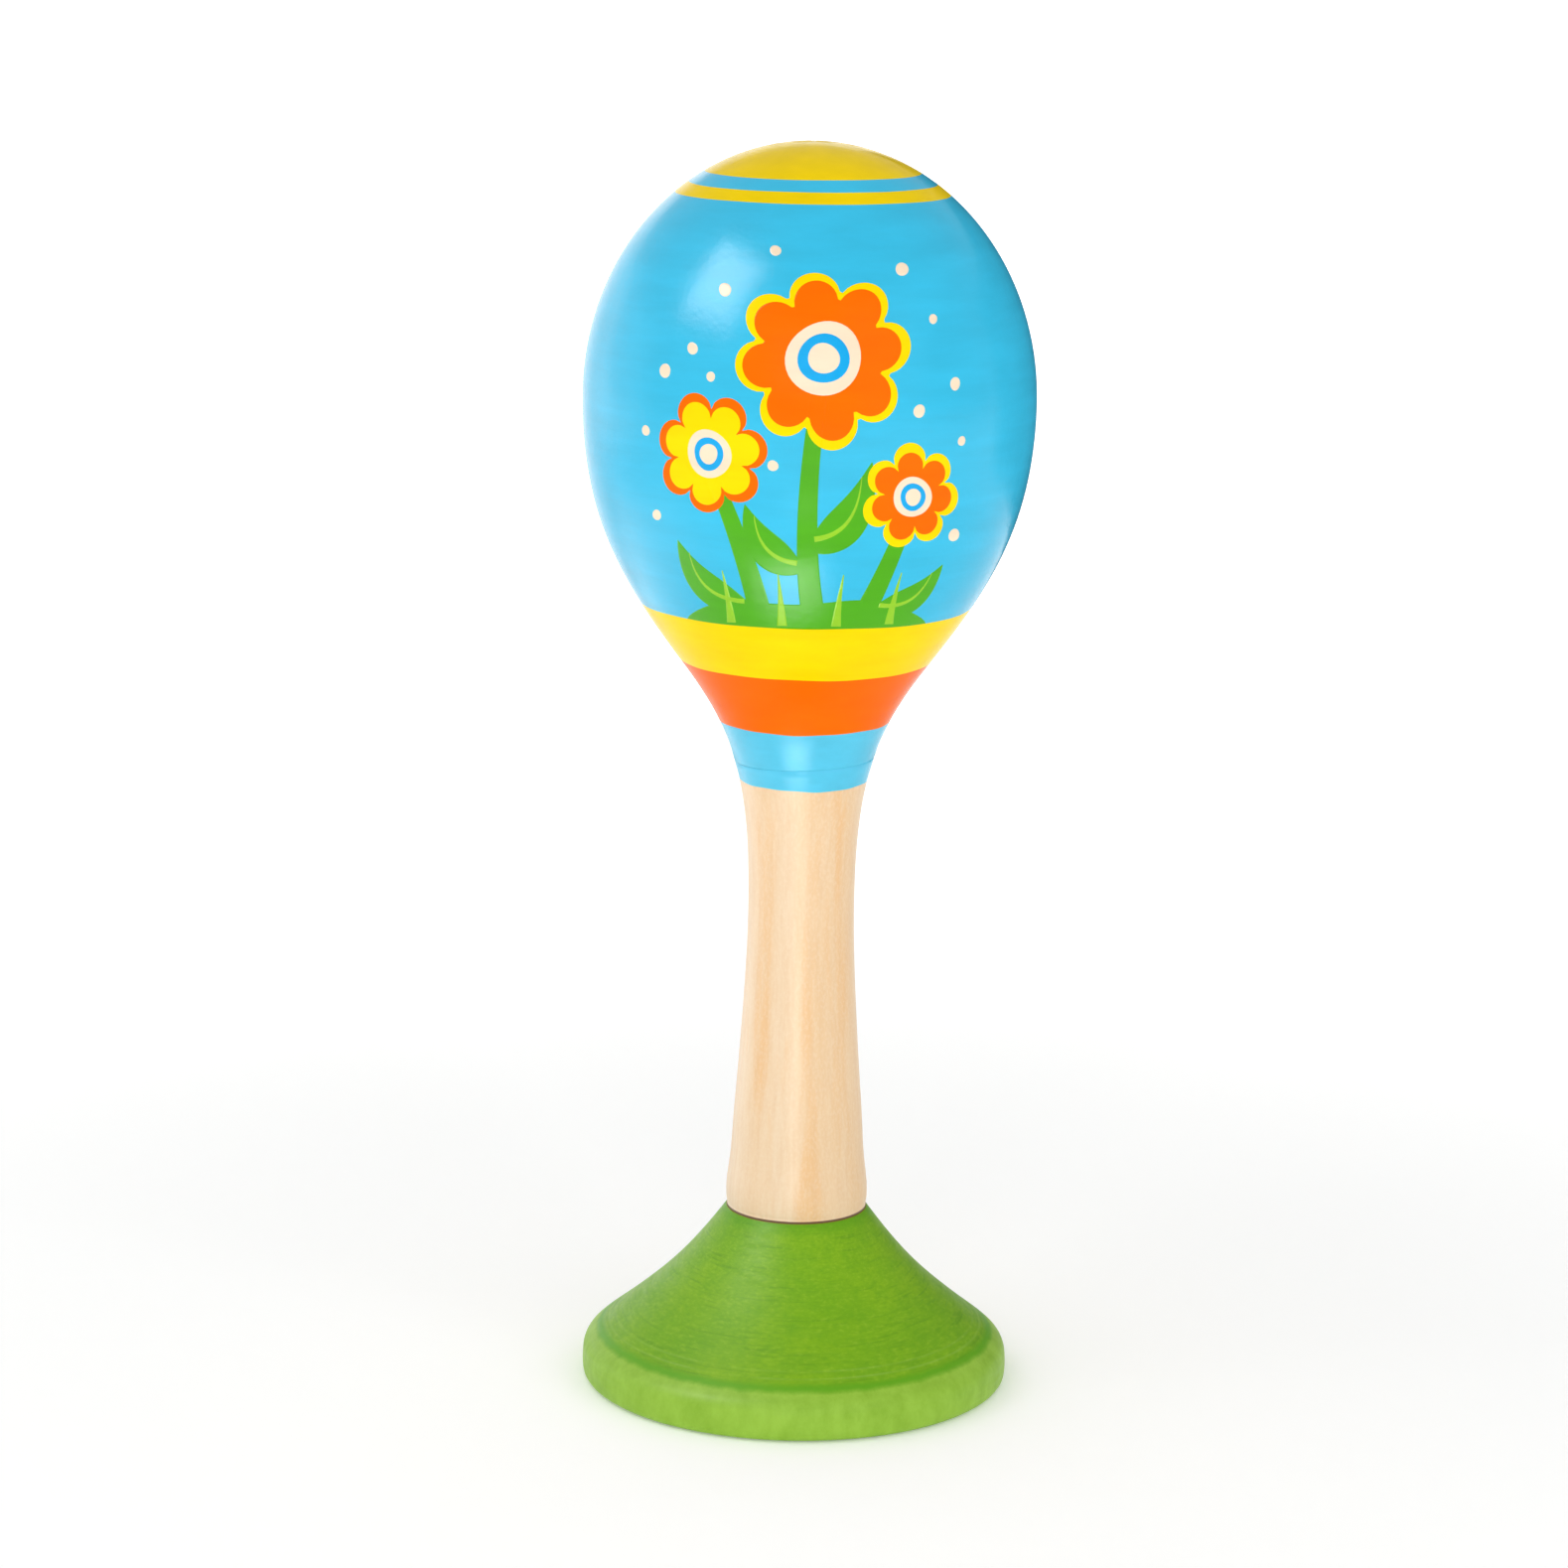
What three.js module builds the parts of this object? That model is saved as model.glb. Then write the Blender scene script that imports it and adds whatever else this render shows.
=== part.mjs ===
// Baby maraca: a turned wooden rattle on a bell-shaped foot, with loose beads in a hollow head.
// Millimetres, +Z up. The origin is the centre of the underside, and the front looks along -Y.
import * as THREE from "three";

// Base: a low rim under a hollow-sided flare
const BASE_DIAMETER = 55.2;
const BASE_HEIGHT = 22.8;
const RIM_HEIGHT = 6.0;
const RIM_SHOULDER_ROUND = 2.9;
const RIM_FOOT_ROUND = 1.0;
const FLARE_LEAN_AT_RIM = 51.5; // every lean is in degrees from the vertical
const FLARE_LEAN_AT_SEAT = 36;

// Handle: tapers from its foot to a waist and swells again towards the head
const HANDLE_LENGTH = 59; // between its two shoulders
const FOOT_DIAMETER = 18.2;
const FOOT_ROUND = 0.8;
const FOOT_LEAN = -3.7;
const WAIST_DIAMETER = 13.6;
const WAIST_RISE = 40; // above the foot
const NECK_DIAMETER = 17.8; // where handle and head meet
const NECK_LEAN = 17.3;

// Head: an egg that runs down into the neck
const HEAD_DIAMETER = 57;
const HEAD_HEIGHT = 78; // neck joint to crown
const DOME_HEIGHT = 32; // equator to crown
const FLANK_DIAMETER = 30.7; // where the neck's hollow turns into the egg's swell
const FLANK_RISE = 12; // above the neck joint
const FLANK_LEAN = 36.7;

// Walls of the head, and the lip that joins its two halves at the equator
const SHELL_WALL = 4.5;
const CROWN_WALL = 5;
const CHAMBER_FLOOR = 7.2; // between the chamber and the handle's socket
const LIP_HEIGHT = 3;

// Tenons on the handle, and the sockets that take them
const NECK_TENON_DIAMETER = 9;
const NECK_TENON_LENGTH = 14;
const FOOT_TENON_DIAMETER = 10;
const FOOT_TENON_LENGTH = 13;
const TENON_CHAMFER = 0.8;
const SOCKET_END_GAP = 1;
const GLUE_LINE = 0.2; // clearance round every glued joint

// Beads: one layer of rings in the bottom of the chamber
const BEADS_IN_RING = [1, 6, 12];
const BEAD_DIAMETER = 5;
const BEAD_GAP = 0.3; // between neighbours, seen from above
const BEAD_CLEARANCE = 0.2; // to the wood that they lie on

// Fullness of the outline: the share of a run's rise over which the curve holds the lean at that end
const FLARE_PULL_AT_RIM = 0.37;
const FLARE_PULL_AT_SEAT = 0.5;
const FOOT_PULL = 0.35;
const WAIST_PULL_BELOW = 0.27;
const WAIST_PULL_ABOVE = 0.43;
const NECK_PULL_BELOW = 0.27;
const NECK_PULL_ABOVE = 0.345;
const FLANK_PULL_BELOW = 0.347;
const FLANK_PULL_ABOVE = 0.305;
const EQUATOR_PULL = 0.456;

// Facets
const TURNED_FACETS = 48;
const CURVE_STEPS = 8;
const DOME_STEPS = 14;
const CHAMBER_STEPS = 10;
const ROUND_STEPS = 4;
const BEAD_FACETS = 12;
const BEAD_RINGS = 8;
const COINCIDENT = 1e-6;
const HALVINGS = 40;

// Heights of the stack, from the table up
const footHeight = BASE_HEIGHT + GLUE_LINE;
const neckHeight = footHeight + HANDLE_LENGTH;
const headFootHeight = neckHeight + GLUE_LINE;
const crownHeight = headFootHeight + HEAD_HEIGHT;
const equatorHeight = crownHeight - DOME_HEIGHT;
const neckSocketTop = neckHeight + NECK_TENON_LENGTH + SOCKET_END_GAP;
const footSocketFloor = footHeight - FOOT_TENON_LENGTH - SOCKET_END_GAP;

// Chamber inside the head: a round bowl under a taller dome
const headRadius = HEAD_DIAMETER / 2;
const chamberRadius = headRadius - SHELL_WALL;
const chamberDomeHeight = DOME_HEIGHT - CROWN_WALL;
const bowlDepth = equatorHeight - neckSocketTop - CHAMBER_FLOOR;
const lipRadius = chamberRadius + (SHELL_WALL - GLUE_LINE) / 2; // lip and rebate share the wall

const radians = THREE.MathUtils.degToRad;
const degrees = THREE.MathUtils.radToDeg;
const at = (radius, height) => new THREE.Vector2(radius, height);
const onAxis = (height) => at(0, height);

// Points of the smooth run of the outline from one station up to the next.
// A station is a radius, a height and a lean.
function runBetween(lower, pullAbove, upper, pullBelow) {
  const rise = upper.height - lower.height;
  const lowerReach = pullAbove * rise;
  const upperReach = pullBelow * rise;
  return new THREE.CubicBezierCurve(
    at(lower.radius, lower.height),
    at(lower.radius + Math.tan(radians(lower.lean)) * lowerReach, lower.height + lowerReach),
    at(upper.radius - Math.tan(radians(upper.lean)) * upperReach, upper.height - upperReach),
    at(upper.radius, upper.height),
  ).getPoints(CURVE_STEPS);
}

// Points of an elliptical arc about a centre, between two angles in degrees above the horizontal
function arcAbout(centre, reachOut, reachUp, fromAngle, toAngle, steps) {
  return Array.from({ length: steps + 1 }, (_, i) => {
    const angle = radians(fromAngle + ((toAngle - fromAngle) * i) / steps);
    return at(centre.x + reachOut * Math.cos(angle), centre.y + reachUp * Math.sin(angle));
  });
}

// A round edge of equal reach both ways
const roundAbout = (centre, radius, fromAngle, toAngle) =>
  arcAbout(centre, radius, radius, fromAngle, toAngle, ROUND_STEPS);

// A solid of revolution about Z. Its profile runs up the outside and down the inside, and a point
// that coincides with the one before it, as where two runs meet, is left out.
function turned(name, profile, material) {
  const distinct = profile.filter((p, i) => i === 0 || p.distanceTo(profile[i - 1]) > COINCIDENT);
  const solid = new THREE.LatheGeometry(distinct, TURNED_FACETS).rotateX(Math.PI / 2);
  const mesh = new THREE.Mesh(solid, material);
  mesh.name = name;
  return mesh;
}

const enamelledWood = new THREE.MeshStandardMaterial({ color: 0x55bfe6, roughness: 0.18, metalness: 0 });
const plainWood = new THREE.MeshStandardMaterial({ color: 0xf0d6ae, roughness: 0.45, metalness: 0 });
const greenStainedWood = new THREE.MeshStandardMaterial({ color: 0x86b335, roughness: 0.5, metalness: 0 });
const beadWood = new THREE.MeshStandardMaterial({ color: 0xd9b27c, roughness: 0.6, metalness: 0 });

// Base: flat underside, rounded rim, flare up to the handle's seat, and a blind socket
function makeBase() {
  const rimRadius = BASE_DIAMETER / 2;
  const shoulderRound = Math.min(RIM_SHOULDER_ROUND, RIM_HEIGHT - RIM_FOOT_ROUND);
  const shoulderCentre = at(rimRadius - shoulderRound, RIM_HEIGHT - shoulderRound);
  const shoulder = roundAbout(shoulderCentre, shoulderRound, 0, FLARE_LEAN_AT_RIM);
  const flareFoot = { radius: shoulder.at(-1).x, height: shoulder.at(-1).y, lean: -FLARE_LEAN_AT_RIM };
  const seat = { radius: FOOT_DIAMETER / 2, height: BASE_HEIGHT, lean: -FLARE_LEAN_AT_SEAT };
  const socketRadius = FOOT_TENON_DIAMETER / 2 + GLUE_LINE;
  return turned(
    "base",
    [
      onAxis(0),
      ...roundAbout(at(rimRadius - RIM_FOOT_ROUND, RIM_FOOT_ROUND), RIM_FOOT_ROUND, -90, 0),
      ...shoulder,
      ...runBetween(flareFoot, FLARE_PULL_AT_RIM, seat, FLARE_PULL_AT_SEAT),
      at(socketRadius, BASE_HEIGHT),
      at(socketRadius, footSocketFloor),
      onAxis(footSocketFloor),
    ],
    greenStainedWood,
  );
}

// Handle: a tenon, the rounded foot, the grip, the shoulder under the head, and a tenon
function makeHandle() {
  const footRadius = FOOT_DIAMETER / 2;
  const foot = { radius: footRadius, height: footHeight + FOOT_ROUND, lean: FOOT_LEAN };
  const waist = { radius: WAIST_DIAMETER / 2, height: footHeight + WAIST_RISE, lean: 0 };
  const neck = { radius: NECK_DIAMETER / 2, height: neckHeight, lean: NECK_LEAN };
  const footTenonRadius = FOOT_TENON_DIAMETER / 2;
  const footTenonEnd = footHeight - FOOT_TENON_LENGTH;
  const neckTenonRadius = NECK_TENON_DIAMETER / 2;
  const neckTenonEnd = neckHeight + NECK_TENON_LENGTH;
  return turned(
    "handle",
    [
      onAxis(footTenonEnd),
      at(footTenonRadius - TENON_CHAMFER, footTenonEnd),
      at(footTenonRadius, footTenonEnd + TENON_CHAMFER),
      at(footTenonRadius, footHeight),
      ...roundAbout(at(footRadius - FOOT_ROUND, foot.height), FOOT_ROUND, -90, 0),
      ...runBetween(foot, FOOT_PULL, waist, WAIST_PULL_BELOW),
      ...runBetween(waist, WAIST_PULL_ABOVE, neck, NECK_PULL_BELOW),
      at(neckTenonRadius, neckHeight),
      at(neckTenonRadius, neckTenonEnd - TENON_CHAMFER),
      at(neckTenonRadius - TENON_CHAMFER, neckTenonEnd),
      onAxis(neckTenonEnd),
    ],
    plainWood,
  );
}

// Lower half of the head: the neck's socket, the flank, the lip at the equator and the chamber's bowl
function makeLowerShell() {
  const neck = { radius: NECK_DIAMETER / 2, height: headFootHeight, lean: NECK_LEAN };
  const flank = { radius: FLANK_DIAMETER / 2, height: headFootHeight + FLANK_RISE, lean: FLANK_LEAN };
  const equator = { radius: headRadius, height: equatorHeight, lean: 0 };
  const socketRadius = NECK_TENON_DIAMETER / 2 + GLUE_LINE;
  const bowl = arcAbout(onAxis(equatorHeight), chamberRadius, bowlDepth, 0, -90, CHAMBER_STEPS);
  return turned(
    "head_lower_shell",
    [
      onAxis(neckSocketTop),
      at(socketRadius, neckSocketTop),
      at(socketRadius, headFootHeight),
      ...runBetween(neck, NECK_PULL_ABOVE, flank, FLANK_PULL_BELOW),
      ...runBetween(flank, FLANK_PULL_ABOVE, equator, EQUATOR_PULL),
      at(lipRadius, equatorHeight),
      at(lipRadius, equatorHeight + LIP_HEIGHT),
      at(chamberRadius, equatorHeight + LIP_HEIGHT),
      ...bowl.slice(0, -1),
      onAxis(equatorHeight - bowlDepth),
    ],
    enamelledWood,
  );
}

// Upper half of the head: a dome with a rebate in its mouth that drops over the lip
function makeUpperShell() {
  const centre = onAxis(equatorHeight);
  const mouthHeight = equatorHeight + GLUE_LINE;
  const rebateTop = equatorHeight + LIP_HEIGHT + GLUE_LINE;
  const rebateRadius = lipRadius + GLUE_LINE;
  const angleAt = (height, reachUp) => degrees(Math.asin((height - equatorHeight) / reachUp));
  const rebateAngle = angleAt(rebateTop, chamberDomeHeight);
  const mouthAngle = angleAt(mouthHeight, DOME_HEIGHT);
  const inside = arcAbout(centre, chamberRadius, chamberDomeHeight, 90, rebateAngle, CHAMBER_STEPS);
  const outside = arcAbout(centre, headRadius, DOME_HEIGHT, mouthAngle, 90, DOME_STEPS);
  return turned(
    "head_upper_shell",
    [
      onAxis(equatorHeight + chamberDomeHeight),
      ...inside.slice(1),
      at(rebateRadius, rebateTop),
      at(rebateRadius, mouthHeight),
      ...outside.slice(0, -1),
      onAxis(crownHeight),
    ],
    enamelledWood,
  );
}

// Height at which a ball's centre comes to rest in the bowl at a distance from the axis, found by
// halving the angle between the bowl's lowest point and its edge
function restHeight(distance, ballRadius) {
  let inner = 0;
  let outer = Math.PI / 2;
  const centreOver = (angle) => {
    const out = Math.sin(angle) / chamberRadius;
    const down = Math.cos(angle) / bowlDepth;
    const inward = ballRadius / Math.hypot(out, down);
    return at(
      chamberRadius * Math.sin(angle) - inward * out,
      equatorHeight - bowlDepth * Math.cos(angle) + inward * down,
    );
  };
  for (let i = 0; i < HALVINGS; i++) {
    const middle = (inner + outer) / 2;
    if (centreOver(middle).x < distance) inner = middle;
    else outer = middle;
  }
  return centreOver(inner).y;
}

// Beads lie side by side in the bowl, each with room above it to jump to the roof
function makeBeads() {
  const radius = BEAD_DIAMETER / 2;
  const solid = new THREE.SphereGeometry(radius, BEAD_FACETS, BEAD_RINGS).rotateX(Math.PI / 2);
  const beads = [];
  BEADS_IN_RING.forEach((count, ring) => {
    const distance = ring * (BEAD_DIAMETER + BEAD_GAP);
    const height = restHeight(distance, radius + BEAD_CLEARANCE);
    for (let i = 0; i < count; i++) {
      const turn = (2 * Math.PI * i) / count;
      const bead = new THREE.Mesh(solid, beadWood);
      bead.position.set(distance * Math.cos(turn), distance * Math.sin(turn), height);
      bead.name = "rattle_bead_" + String(beads.length + 1).padStart(2, "0");
      beads.push(bead);
    }
  });
  return beads;
}

const maraca = new THREE.Group();
maraca.add(makeBase(), makeHandle(), makeLowerShell(), makeUpperShell(), ...makeBeads());

export default maraca;
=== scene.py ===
"""Looks of a baby maraca: enamelled egg head with painted flowers, pale wood handle, green-stained foot.

The outline of every turned piece is read from the frame's own half sections and smoothed. The head's skin is
one sheet, cut along the edges of its paint, so that each colour has its own faces and a slight step.
Lengths are in millimetres unless a heading says metres.
"""

import math
from collections import namedtuple

import bpy
import numpy as np
from mathutils import Matrix, Vector
from mathutils.geometry import delaunay_2d_cdt


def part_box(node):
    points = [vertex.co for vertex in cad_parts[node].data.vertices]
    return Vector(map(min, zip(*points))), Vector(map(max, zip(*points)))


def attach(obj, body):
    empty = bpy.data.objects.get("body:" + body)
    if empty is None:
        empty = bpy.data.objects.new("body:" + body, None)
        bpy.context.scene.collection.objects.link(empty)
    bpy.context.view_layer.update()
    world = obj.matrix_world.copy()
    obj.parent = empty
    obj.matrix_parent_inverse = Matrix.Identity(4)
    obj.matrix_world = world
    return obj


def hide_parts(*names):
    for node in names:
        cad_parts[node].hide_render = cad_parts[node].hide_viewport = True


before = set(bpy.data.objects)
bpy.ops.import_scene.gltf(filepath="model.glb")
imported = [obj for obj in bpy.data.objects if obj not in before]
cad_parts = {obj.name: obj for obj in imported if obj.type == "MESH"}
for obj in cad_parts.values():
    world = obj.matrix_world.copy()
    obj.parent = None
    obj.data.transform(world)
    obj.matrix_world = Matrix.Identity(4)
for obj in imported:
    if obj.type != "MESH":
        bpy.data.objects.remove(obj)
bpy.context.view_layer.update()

MM = 0.001
FULL_TURN = 2 * math.pi
MIDDLE = 0.5
WHITE = (1, 1, 1, 1)

# A noise scaled for a metre on three axes, and one for a unit circle round the axis and a metre up it
Straight = namedtuple("Straight", "scale detail roughness")
Turned = namedtuple("Turned", "scale detail roughness")

# A colour that shows through a noise: from none at the span's first value to its share at the second
Coat = namedtuple("Coat", "noise span share colour")

# Camera, from the photograph: distances from the foot's centre, angles in degrees
CAMERA_DISTANCE = 577.8
CAMERA_HEIGHT = 201.2
CAMERA_ASIDE = -2.45
CAMERA_PITCH = 11.98
CAMERA_ROLL = 0.90
CAMERA_LENS = 106.2
CAMERA_SENSOR = 36.0
CAMERA_NEAREST = 10.0

# Heights of the painted edges above the table
CAP_EDGE = 156.39
RING_TOP = 155.07
RING_FOOT = 153.76
BODY_FOOT = 102.41
YELLOW_FOOT = 95.09
ORANGE_FOOT = 87.15
PAINT_END = 79.38
SHOULDER_LINE = 6.3

# The hairline where handle and head meet under the paint
JOINT_SKEW = 0.35
JOINT_SKEW_TURN = math.radians(80)
JOINT_SKEW_REACH = 6.0
JOINT_GROOVE = 0.07
JOINT_GROOVE_HALF = 0.14

# Glue that fills the gap under the handle's foot
GLUE_INSET = 0.12
GLUE_DROP = 0.18

# Paint: colours, bands from the crown down, and the slight steps at their edges
PAINTS = {
    "sky_blue": "34BBE2",
    "cap_yellow": "F2D000",
    "yellow": "FFDA00",
    "orange": "FF6C00",
    "neck_blue": "55C6E8",
    "leaf_green": "4CAB00",
    "leaf_light": "93CC22",
    "cream": "F6DFC2",
    "deep_blue": "00A6E6",
}
PAINT_NAMES = list(PAINTS)
BODY_PAINT = "sky_blue"
WARM_PAINTS = ("cap_yellow", "yellow", "orange")
SHEEN = 0.24
WARM_SHEEN = 0.05
CAP_WOBBLE = 0.05
NECK_WOBBLE = 0.16
HANDLE_EDGE_SEED = 4.1
BAND_EDGES = [(CAP_EDGE, CAP_WOBBLE), (RING_TOP, CAP_WOBBLE), (RING_FOOT, CAP_WOBBLE),
              (BODY_FOOT, NECK_WOBBLE), (YELLOW_FOOT, NECK_WOBBLE), (ORANGE_FOOT, NECK_WOBBLE)]
BAND_PAINTS = ["cap_yellow", BODY_PAINT, "cap_yellow", BODY_PAINT, "yellow", "orange", "neck_blue"]
BODY_EDGE = BAND_PAINTS.index("yellow") - 1
PAINT_STEP = 0.030
MOST_LAYERS = 4
PAINT_BEVEL = 0.14
FOOT_BEVEL = 0.24

# Wanders of a hand-painted line, each part with its size, its waves in a turn and its share of a seed
WOBBLE_WAVES = [(0.5, 2, 1.0), (0.3, 5, 2.3), (0.2, 11, 3.7)]
PETAL_WAVES = [(0.018, 3, 1.0)]
DISC_WAVES = [(0.03, 2, 1.0), (0.02, 3, -1.0)]

# Flowers: centre, radius, petals, lean, paint and rim, with places (across, up) from the foot of the blue
FLOWERS = [((1.5, 35.5), 9.8, 8, 0.15, "orange", "yellow"),
           ((-12.5, 23.5), 6.4, 7, 0.4, "yellow", "orange"),
           ((13.0, 18.5), 5.6, 7, 0.1, "orange", "yellow")]
FLOWER_RIM = 1.1
RIM_NOTCH = 0.30
PETAL_NOTCH = 0.34
PETAL_FLATNESS = 0.55
PETAL_POINTS = 18
FLOWER_EYE = [("cream", 0.46), ("deep_blue", 0.31), ("cream", 0.19)]
EYE_POINTS = 40

# Stems, leaves and blades: each path has its start, the point that bends it, and its end
STEMS = [((1.0, 1), (-1.5, 16), (1.5, 34)),
         ((-5.5, 1), (-7.5, 12), (-12.5, 22)),
         ((6.5, 1), (9.5, 8), (13.0, 17.5))]
STEM_HALF_WIDTHS = (1.5, 0.9)
SWEEP_POINTS = 26
NARROWEST = 0.3
LEAVES = [(((-0.4, 9), (-6.0, 10.5), (-7.8, 17.5)), 2.2),
          (((-0.2, 12), (6.0, 14.0), (7.6, 23)), 2.4),
          (((-6.5, 3), (-14.0, 4), (-17.0, 12.0)), 2.2),
          (((7.8, 3), (14.0, 2.5), (18.0, 9.0)), 2.0)]
LEAF_TIP = 0.06
LEAF_LEAN = 0.8
LEAF_FULLNESS = 0.9
VEIN_TRIM = (0.12, 0.16)
VEIN_TIP = 0.05
VEIN_WIDTH = 0.32
VEIN_POINTS = 16
BLADES = [(-9.5, -1.2), (-3.0, -0.6), (3.6, 0.8), (10.5, 1.4)]
BLADE_HEIGHTS = (0.5, 4.0, 8.4)
BLADE_BEND = 0.2
BLADE_HALF_WIDTHS = (0.62, 0.07)

# Rolling ground under the flowers, and dots round them
MOUND_HALF = 16.5
MOUND_HEIGHT = 5.2
MOUND_FOOT = -1.5
MOUND_SUNK = 0.4
MOUND_FULLNESS = 0.6
MOUND_ROLL = 0.16
MOUND_ROLL_RATE = 9
MOUND_ROLL_START = 0.6
MOUND_POINTS = 60
DOTS = [(-15.0, 36), (-10.8, 43.5), (-12.4, 32.8), (-19.0, 33), (-20.3, 15), (-22.0, 25.5), (11.2, 46.5),
        (15.5, 40), (18.8, 32), (13.6, 29.0), (20.0, 25), (19.5, 13), (-4.4, 22.5), (-4.5, 49)]
DOT_RADIUS = 0.74
DOT_SPREAD = 0.15
DOT_TURN = 2.4
DOT_POINTS = 20

# Enamel. A bump has its strength and its depth.
ENAMEL_STREAKS = Turned((1.6, 420), 5.0, 0.6)
ENAMEL_CLOUDS = Straight((55, 55, 80), 3.0, 0.55)
ENAMEL_PEEL = Straight((950, 950, 950), 2.0, 0.55)
ENAMEL_BLEND = (0.6, 0.4)
ENAMEL_BLEND_SPAN = (0.36, 0.64)
ENAMEL_TONES = (0.9, 1.03)
ENAMEL_GLOSS_SPAN = (0.35, 0.65)
ENAMEL_ROUGHNESS = (0.17, 0.24)
PEEL_BUMP = (0.22, 0.12)
BRUSH_BUMP = (0.20, 0.12)

# Plain wood of the handle
WOOD_BROAD = Straight((150, 150, 9), 3.0, 0.5)
WOOD_FLAME = Straight((330, 330, 30), 3.0, 0.55)
WOOD_FINE = Straight((1500, 1500, 130), 3.0, 0.6)
WOOD_FLECK = Straight((3200, 3200, 1800), 2.0, 0.5)
WOOD_GROUND = "ECD2B1"
WOOD_COATS = [Coat(WOOD_BROAD, (0.36, 0.66), 1.0, "E8C599"),
              Coat(WOOD_FLAME, (0.52, 0.70), 0.75, "E9BB84"),
              Coat(WOOD_FINE, (0.42, 0.70), 0.32, "DFB78A"),
              Coat(WOOD_FLECK, (0.46, 0.66), 0.16, "F6E6D0")]
WOOD_GLOSS_SPAN = (0.3, 0.7)
WOOD_ROUGHNESS = (0.30, 0.38)
WOOD_SHEEN = 0.36
WOOD_FINE_BUMP = (0.08, 0.1)
WOOD_FLECK_BUMP = (0.10, 0.1)
FOOT_GLUE = "553410"
FOOT_GLUE_SPAN = (0.14, 0.04)
FOOT_GLUE_SHARE = 0.92

# Green stain of the base: flare, rim, a line and a seat ring darkened by stain and painted shade, glue at the
# seat
STAIN_STREAKS = Turned((3.4, 1500), 5.0, 0.6)
STAIN_LINES = Turned((2.2, 3600), 3.0, 0.5)
STAIN_FIBRES = Turned((20, 3400), 4.0, 0.65)
STAIN_MOTTLE = Straight((420, 420, 260), 5.0, 0.65)
STAIN_CLOUDS = Straight((90, 90, 90), 4.0, 0.55)
FLARE_GROUND = "7FAF14"
FLARE_COATS = [Coat(STAIN_CLOUDS, (0.38, 0.66), 1.0, "73A814"),
               Coat(STAIN_MOTTLE, (0.46, 0.70), 0.55, "67A012"),
               Coat(STAIN_STREAKS, (0.42, 0.72), 0.40, "679E12"),
               Coat(STAIN_LINES, (0.57, 0.71), 0.50, "4F890F"),
               Coat(STAIN_FIBRES, (0.52, 0.70), 0.45, "5E960F"),
               Coat(STAIN_FIBRES, (0.48, 0.32), 0.45, "94BE2C")]
RIM_GROUND = "97C242"
RIM_COATS = [Coat(STAIN_MOTTLE, (0.36, 0.68), 1.0, "86B232")]
RIM_SPAN = (0.3, -0.6)
TURNED_RINGS = [(0.9, 0.16), (1.6, 0.11)]
TURNED_RING_SPAN = (0.14, 0.04)
TURNED_RING_CLOUDS = (0.35, 0.6)
TURNED_RING_GREEN = "B4D56E"
STAIN_UNEVEN = 0.6
# Stain and painted shade: a darker green line along the shoulder crease
EDGE_STAIN_AND_SHADE_GREEN = "55A00A"
EDGE_STAIN_AND_SHADE_SPAN = (0.55, 0.1)
EDGE_STAIN_AND_SHADE_SHARE = 0.75
# Stain and painted shade: a darker green ring on the flare round the handle's foot
SEAT_STAIN_AND_SHADE_GREEN = "4F960C"
SEAT_STAIN_AND_SHADE_SPAN = (-1.6, -0.2)
SEAT_STAIN_AND_SHADE_SHARE = 0.55
SEAT_GLUE = "A86F30"
SEAT_GLUE_SPAN = (-0.06, -0.01)
SEAT_GLUE_SHARE = 0.5
STAIN_GLOSS_SPAN = (0.3, 0.7)
STAIN_ROUGHNESS = (0.38, 0.52)
STAIN_SHEEN = 0.18
STAIN_STREAK_BUMP = (0.10, 0.12)
STAIN_LINE_BUMP = (0.12, 0.10)

# Bare wood of the beads and the head's inside, each with a light and a dark colour
BEAD_WOOD = ("D9B27C", "B98C55")
SHELL_WOOD = ("EFD5B0", "E0BE90")
BARE_GRAIN = Straight((900, 900, 120), 4.0, 0.6)
BARE_SPAN = (0.35, 0.68)
BARE_GLOSS_SPAN = (0.3, 0.7)
BARE_ROUGHNESS = (0.5, 0.65)
BARE_BUMP = (0.15, 0.1)

# Backdrop, in metres: floor, bend and wall, and the glow of its paper by the distance from the object
BACKDROP_HALF_WIDTH = 1.6
BACKDROP_FRONT = -1.2
BACKDROP_BEND_AT = 0.75
BACKDROP_BEND = 0.45
BACKDROP_BEND_STEPS = 12
BACKDROP_TOP = 0.6
BACKDROP_DROP = 0.0002
PAPER_GRAIN = Straight((300, 300, 300), 3.0, 0.55)
PAPER_TONES = ("F8F8F7", "FCFCFB")
PAPER_ROUGHNESS = 0.9
PAPER_SHEEN = 0.1
GLOW_SPAN = (0.08, 0.50)
GLOW = (0.16, 0.60)

# Room light in its dim and bright directions, and a black card, in metres
ROOM_LIGHT = (0.50, 0.78)
ROOM_SPAN = (-0.4, 0.95)
BRIGHT_WAY = (-0.97, 0.10, 0.05)
FLAG_NEAR = (0.42, 0.12)
FLAG_FAR = (0.05, 0.45)
FLAG_SPAN = (0.004, 0.30)
FLAG_BLACK = (0.01, 0.01, 0.01, 1)
FLAG_ROUGHNESS = 1.0
EXPOSURE = 0.06

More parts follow.
